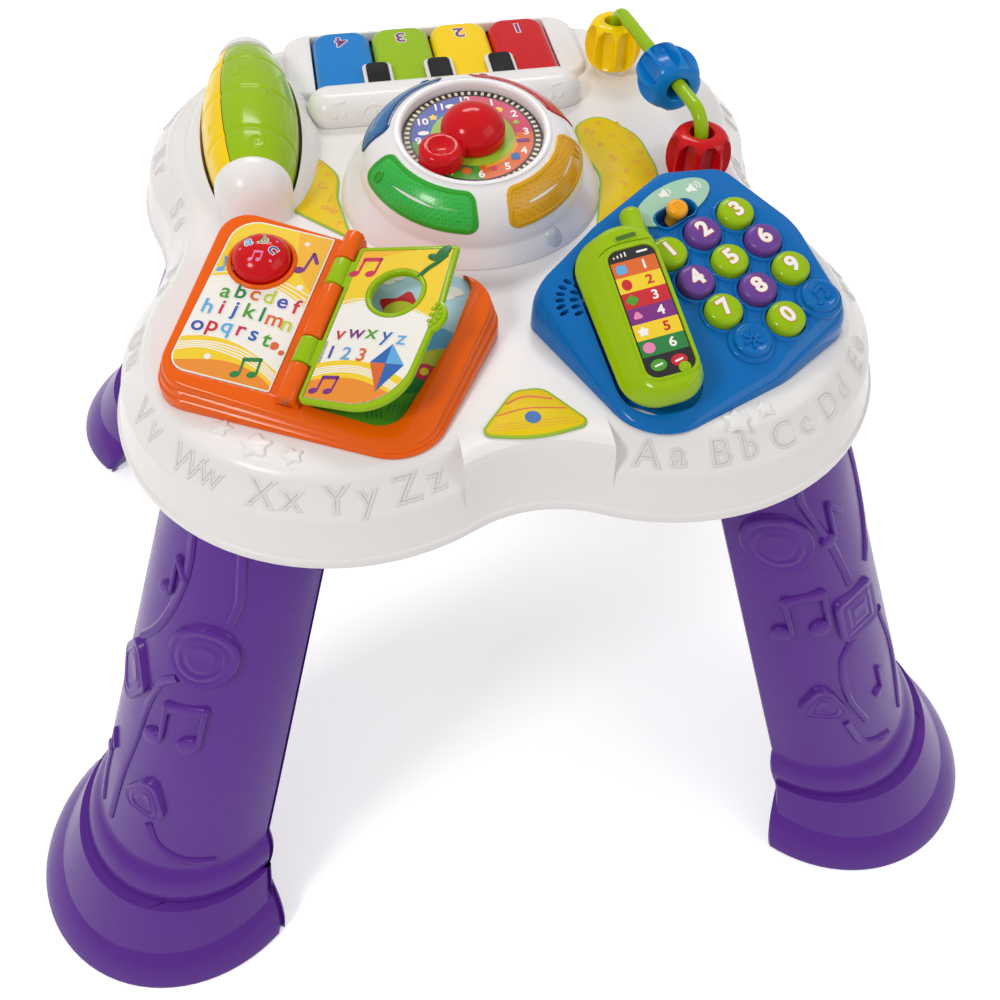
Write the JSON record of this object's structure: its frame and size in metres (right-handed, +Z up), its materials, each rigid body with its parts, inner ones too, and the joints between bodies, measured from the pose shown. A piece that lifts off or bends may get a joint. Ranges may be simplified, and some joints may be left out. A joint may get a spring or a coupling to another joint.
{
  "type": "musical activity table",
  "caption": "Low toy table with flared legs carrying a page book, a telephone, a clock dome, a piano, a roller and beads on a rail.",
  "frame": {"origin": "on the floor under the middle of the bounding box", "axes": "+X to the right as seen by the child at the front, +Y away from that child, +Z up"},
  "size_m": [0.558, 0.5144, 0.3746],
  "materials": {
    "white_gloss": "white moulded plastic, satin to glossy",
    "white_matte": "white moulded plastic, matt",
    "purple": "deep purple moulded plastic, glossy",
    "orange": "orange moulded plastic, glossy",
    "green": "lime green moulded plastic, glossy",
    "yellow": "yellow moulded plastic, glossy",
    "red": "red moulded plastic, glossy",
    "blue": "blue moulded plastic, glossy",
    "key_purple": "light purple moulded plastic, glossy",
    "black": "black label",
    "mint_plate": "pale mint label",
    "decal_yellow": "yellow printed label",
    "printed_card": "printed label under a clear coat",
    "lens_green": "translucent green, fine dimples",
    "lens_amber": "translucent amber, fine dimples",
    "lens_blue": "translucent blue, fine dimples",
    "lens_red": "translucent red, fine dimples",
    "steel": "drawn steel rod",
    "cell_jacket": "plain dark jacket",
    "speaker_steel": "plain dark frame",
    "board": "green board"
  },
  "bodies": {
    "table": {"top_shell": "white_gloss", "bottom_shell": "white_matte", "battery_door": "white_matte", "battery_front": "cell_jacket", "battery_rear": "cell_jacket", "circuit_board": "board", "speaker": "speaker_steel", "roller_axle": "steel", "piano_key_rod": "steel", "piano_bar": "white_gloss", "black_pad_left": "black", "black_pad_middle": "black", "black_pad_right": "black", "clock_dome": "white_gloss", "lens_front_left": "lens_green", "lens_front_right": "lens_amber", "lens_rear_right": "lens_red", "lens_rear_left": "lens_blue", "clock_dial": "printed_card", "book_base": "orange", "book_left_card": "printed_card", "book_right_card": "printed_card", "book_spine_pin": "steel", "phone_base": "blue", "volume_plate": "mint_plate", "bead_rail": "green", "left_decal": "decal_yellow", "right_decal": "decal_yellow", "nameplate": "decal_yellow", "leg_front_left": "purple", "leg_front_right": "purple", "leg_rear_left": "purple", "leg_rear_right": "purple"},
    "page": {"book_page": "green", "book_page_card": "printed_card"},
    "letter_button": {"letter_button": "red"},
    "roller": {"roller_green_half": "green", "roller_yellow_half": "yellow"},
    "clock_knob": {"clock_knob": "red"},
    "volume_knob": {"volume_knob": "yellow"},
    "handset": {"handset": "green", "handset_screen": "printed_card"},
    "bead_yellow": {"bead_yellow": "yellow"},
    "bead_red": {"bead_red": "red"},
    "bead_blue": {"bead_blue": "blue"},
    "piano_key_blue": {"piano_key_blue": "blue"},
    "piano_key_green": {"piano_key_green": "green"},
    "piano_key_yellow": {"piano_key_yellow": "yellow"},
    "piano_key_red": {"piano_key_red": "red"},
    "phone_key_1": {"phone_key_1": "green"},
    "phone_key_2": {"phone_key_2": "key_purple"},
    "phone_key_3": {"phone_key_3": "green"},
    "phone_key_4": {"phone_key_4": "key_purple"},
    "phone_key_5": {"phone_key_5": "green"},
    "phone_key_6": {"phone_key_6": "key_purple"},
    "phone_key_7": {"phone_key_7": "green"},
    "phone_key_8": {"phone_key_8": "key_purple"},
    "phone_key_9": {"phone_key_9": "green"},
    "phone_key_0": {"phone_key_0": "green"}
  },
  "joints": [
    {"name": "page_turn", "type": "hinge", "parent": "table", "child": "page", "pos_m": [-0.0807, -0.10597, 0.34333], "axis": [-0.4131, -0.8908, -0.1893], "range_deg": [-16, 134]},
    {"name": "letter_button_press", "type": "slide", "parent": "table", "child": "letter_button", "axis": [0, -0.2079, 0.9781], "range_m": [-0.003, 0], "stiffness_N_per_m": 300, "springref_m": 0.002},
    {"name": "roller_spin", "type": "hinge", "parent": "table", "child": "roller", "pos_m": [-0.108, 0.061, 0.3305], "axis": [0, 1, 0], "continuous": true},
    {"name": "clock_knob_turn", "type": "hinge", "parent": "table", "child": "clock_knob", "pos_m": [0.001, -0.001, 0.322], "axis": [0, -0.1392, 0.9903], "continuous": true},
    {"name": "volume_slide", "type": "slide", "parent": "table", "child": "volume_knob", "axis": [0.8918, 0.437, 0.1171], "range_m": [-0.006, 0.006]},
    {"name": "handset_lift", "type": "slide", "parent": "table", "child": "handset", "axis": [-0.1736, -0.2549, 0.9513], "range_m": [0, 0.06]},
    {"name": "bead_yellow_spin", "type": "hinge", "parent": "table", "child": "bead_yellow", "pos_m": [0.101, 0.103, 0.339], "axis": [0, 0, 1], "continuous": true},
    {"name": "bead_red_spin", "type": "hinge", "parent": "table", "child": "bead_red", "pos_m": [0.116, -0.012, 0.339], "axis": [0, 0, 1], "continuous": true},
    {"name": "bead_blue_slide", "type": "slide", "parent": "table", "child": "bead_blue", "axis": [0.1293, -0.9916, 0], "range_m": [-0.0424, 0.0146]},
    {"name": "piano_key_blue_press", "type": "hinge", "parent": "table", "child": "piano_key_blue", "pos_m": [-0.0528, 0.0805, 0.317], "axis": [1, 0, 0], "range_deg": [-3, 0], "stiffness_Nm_per_rad": 0.6, "springref_deg": 2.86},
    {"name": "piano_key_green_press", "type": "hinge", "parent": "table", "child": "piano_key_green", "pos_m": [-0.0176, 0.0805, 0.317], "axis": [1, 0, 0], "range_deg": [-3, 0], "stiffness_Nm_per_rad": 0.6, "springref_deg": 2.86},
    {"name": "piano_key_yellow_press", "type": "hinge", "parent": "table", "child": "piano_key_yellow", "pos_m": [0.0176, 0.0805, 0.317], "axis": [1, 0, 0], "range_deg": [-3, 0], "stiffness_Nm_per_rad": 0.6, "springref_deg": 2.86},
    {"name": "piano_key_red_press", "type": "hinge", "parent": "table", "child": "piano_key_red", "pos_m": [0.0528, 0.0805, 0.317], "axis": [1, 0, 0], "range_deg": [-3, 0], "stiffness_Nm_per_rad": 0.6, "springref_deg": 2.86},
    {"name": "phone_key_1_press", "type": "slide", "parent": "table", "child": "phone_key_1", "axis": [0, -0.2588, 0.9659], "range_m": [-0.002, 0], "stiffness_N_per_m": 300, "springref_m": 0.002},
    {"name": "phone_key_2_press", "type": "slide", "parent": "table", "child": "phone_key_2", "axis": [0, -0.2588, 0.9659], "range_m": [-0.002, 0], "stiffness_N_per_m": 300, "springref_m": 0.002},
    {"name": "phone_key_3_press", "type": "slide", "parent": "table", "child": "phone_key_3", "axis": [0, -0.2588, 0.9659], "range_m": [-0.002, 0], "stiffness_N_per_m": 300, "springref_m": 0.002},
    {"name": "phone_key_4_press", "type": "slide", "parent": "table", "child": "phone_key_4", "axis": [0, -0.2588, 0.9659], "range_m": [-0.002, 0], "stiffness_N_per_m": 300, "springref_m": 0.002},
    {"name": "phone_key_5_press", "type": "slide", "parent": "table", "child": "phone_key_5", "axis": [0, -0.2588, 0.9659], "range_m": [-0.002, 0], "stiffness_N_per_m": 300, "springref_m": 0.002},
    {"name": "phone_key_6_press", "type": "slide", "parent": "table", "child": "phone_key_6", "axis": [0, -0.2588, 0.9659], "range_m": [-0.002, 0], "stiffness_N_per_m": 300, "springref_m": 0.002},
    {"name": "phone_key_7_press", "type": "slide", "parent": "table", "child": "phone_key_7", "axis": [0, -0.2588, 0.9659], "range_m": [-0.002, 0], "stiffness_N_per_m": 300, "springref_m": 0.002},
    {"name": "phone_key_8_press", "type": "slide", "parent": "table", "child": "phone_key_8", "axis": [0, -0.2588, 0.9659], "range_m": [-0.002, 0], "stiffness_N_per_m": 300, "springref_m": 0.002},
    {"name": "phone_key_9_press", "type": "slide", "parent": "table", "child": "phone_key_9", "axis": [0, -0.2588, 0.9659], "range_m": [-0.002, 0], "stiffness_N_per_m": 300, "springref_m": 0.002},
    {"name": "phone_key_0_press", "type": "slide", "parent": "table", "child": "phone_key_0", "axis": [0, -0.2588, 0.9659], "range_m": [-0.002, 0], "stiffness_N_per_m": 300, "springref_m": 0.002}
  ]
}
